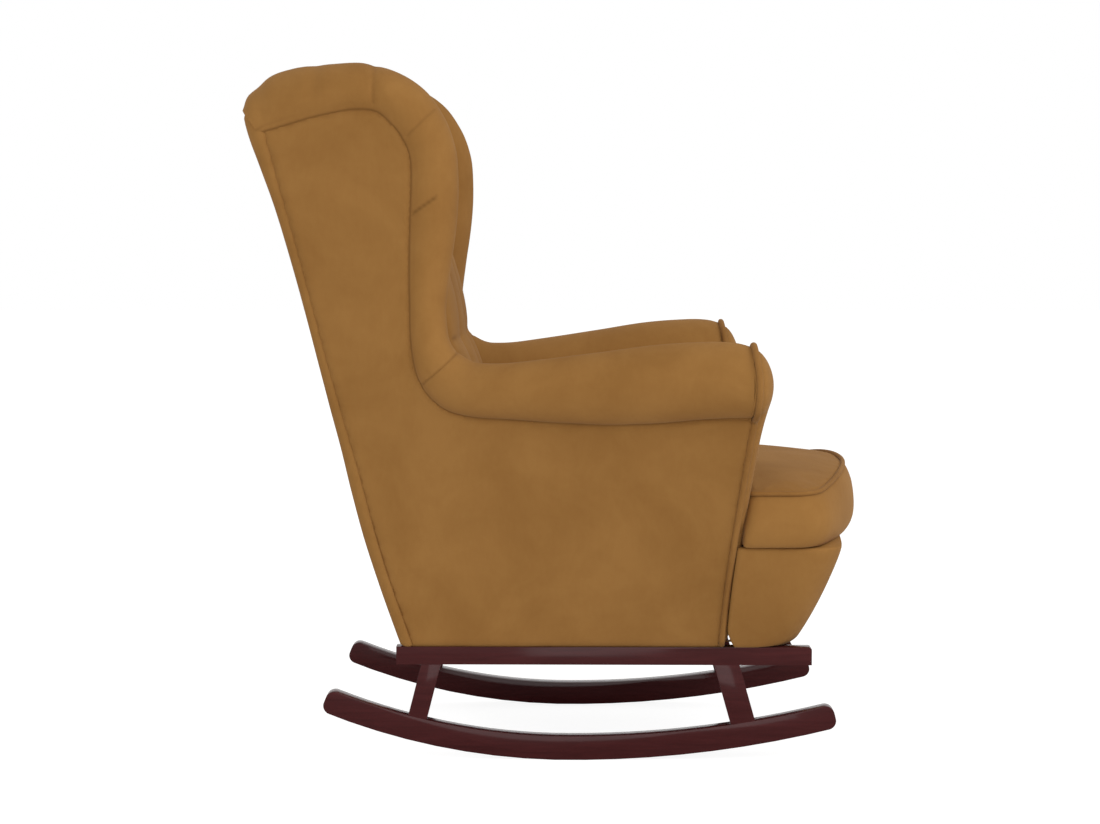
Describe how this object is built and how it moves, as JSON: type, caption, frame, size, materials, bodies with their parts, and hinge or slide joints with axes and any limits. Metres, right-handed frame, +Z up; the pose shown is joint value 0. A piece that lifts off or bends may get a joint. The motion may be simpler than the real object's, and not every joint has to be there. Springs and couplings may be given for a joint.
{
  "type": "rocking armchair",
  "caption": "High-backed wing armchair in velvet on two curved wooden rockers, with rolled arms, a tufted back and a crowned T-shaped seat cushion.",
  "frame": {"origin": "on the floor under the middle of the chair: centre of the overall box in X and Y, and its lowest point in Z, where the rockers touch the floor", "axes": "+Z up from the floor, the chair faces -Y, and +X is the sitter's left; it is alike about X = 0"},
  "size_m": [0.7948, 0.8932, 1.0064],
  "materials": {
    "dark_wood": "glossy lacquer",
    "frame_wood": "raw timber",
    "velvet": "smooth velvet",
    "piping": "corded velvet",
    "foam": "felt and foam",
    "cover_cloth": "black lining cloth",
    "webbing": "woven elastic",
    "steel": "zinc plated"
  },
  "bodies": {
    "root": {"left_rocker": "dark_wood", "right_rocker": "dark_wood", "left_rear_post": "dark_wood", "right_rear_post": "dark_wood", "left_front_post": "dark_wood", "right_front_post": "dark_wood", "left_side_rail": "dark_wood", "right_side_rail": "dark_wood", "left_seat_side_rail": "frame_wood", "right_seat_side_rail": "frame_wood", "left_back_stile": "frame_wood", "right_back_stile": "frame_wood", "left_outside_panel": "velvet", "right_outside_panel": "velvet", "left_arm_board": "frame_wood", "right_arm_board": "frame_wood", "left_wing_board": "frame_wood", "right_wing_board": "frame_wood", "left_arm_front_board": "frame_wood", "right_arm_front_board": "frame_wood", "left_arm_roll": "velvet", "right_arm_roll": "velvet", "left_inside_arm_pad": "velvet", "right_inside_arm_pad": "velvet", "left_inside_wing_pad": "velvet", "right_inside_wing_pad": "velvet", "left_wing_roll": "velvet", "right_wing_roll": "velvet", "left_arm_front_panel": "velvet", "right_arm_front_panel": "velvet", "left_arm_front_piping": "piping", "right_arm_front_piping": "piping", "base_dowels": "frame_wood", "front_cross_rail": "dark_wood", "rear_cross_rail": "dark_wood", "rail_mounting_bolts": "steel", "seat_mounting_blocks": "frame_wood", "seat_front_rail": "frame_wood", "seat_rear_rail": "frame_wood", "seat_springs": "steel", "spring_clips": "steel", "seat_deck_pad": "foam", "dust_cover": "cover_cloth", "back_top_rail": "frame_wood", "back_lumbar_rail": "frame_wood", "back_webbing": "webbing", "outside_back_panel": "velvet", "inside_back_pad": "velvet", "back_buttons": "velvet", "back_top_roll": "velvet", "seat_cushion": "velvet", "seat_cushion_piping": "piping", "seat_apron": "velvet", "seat_front_block": "frame_wood"}
  },
  "joints": []
}
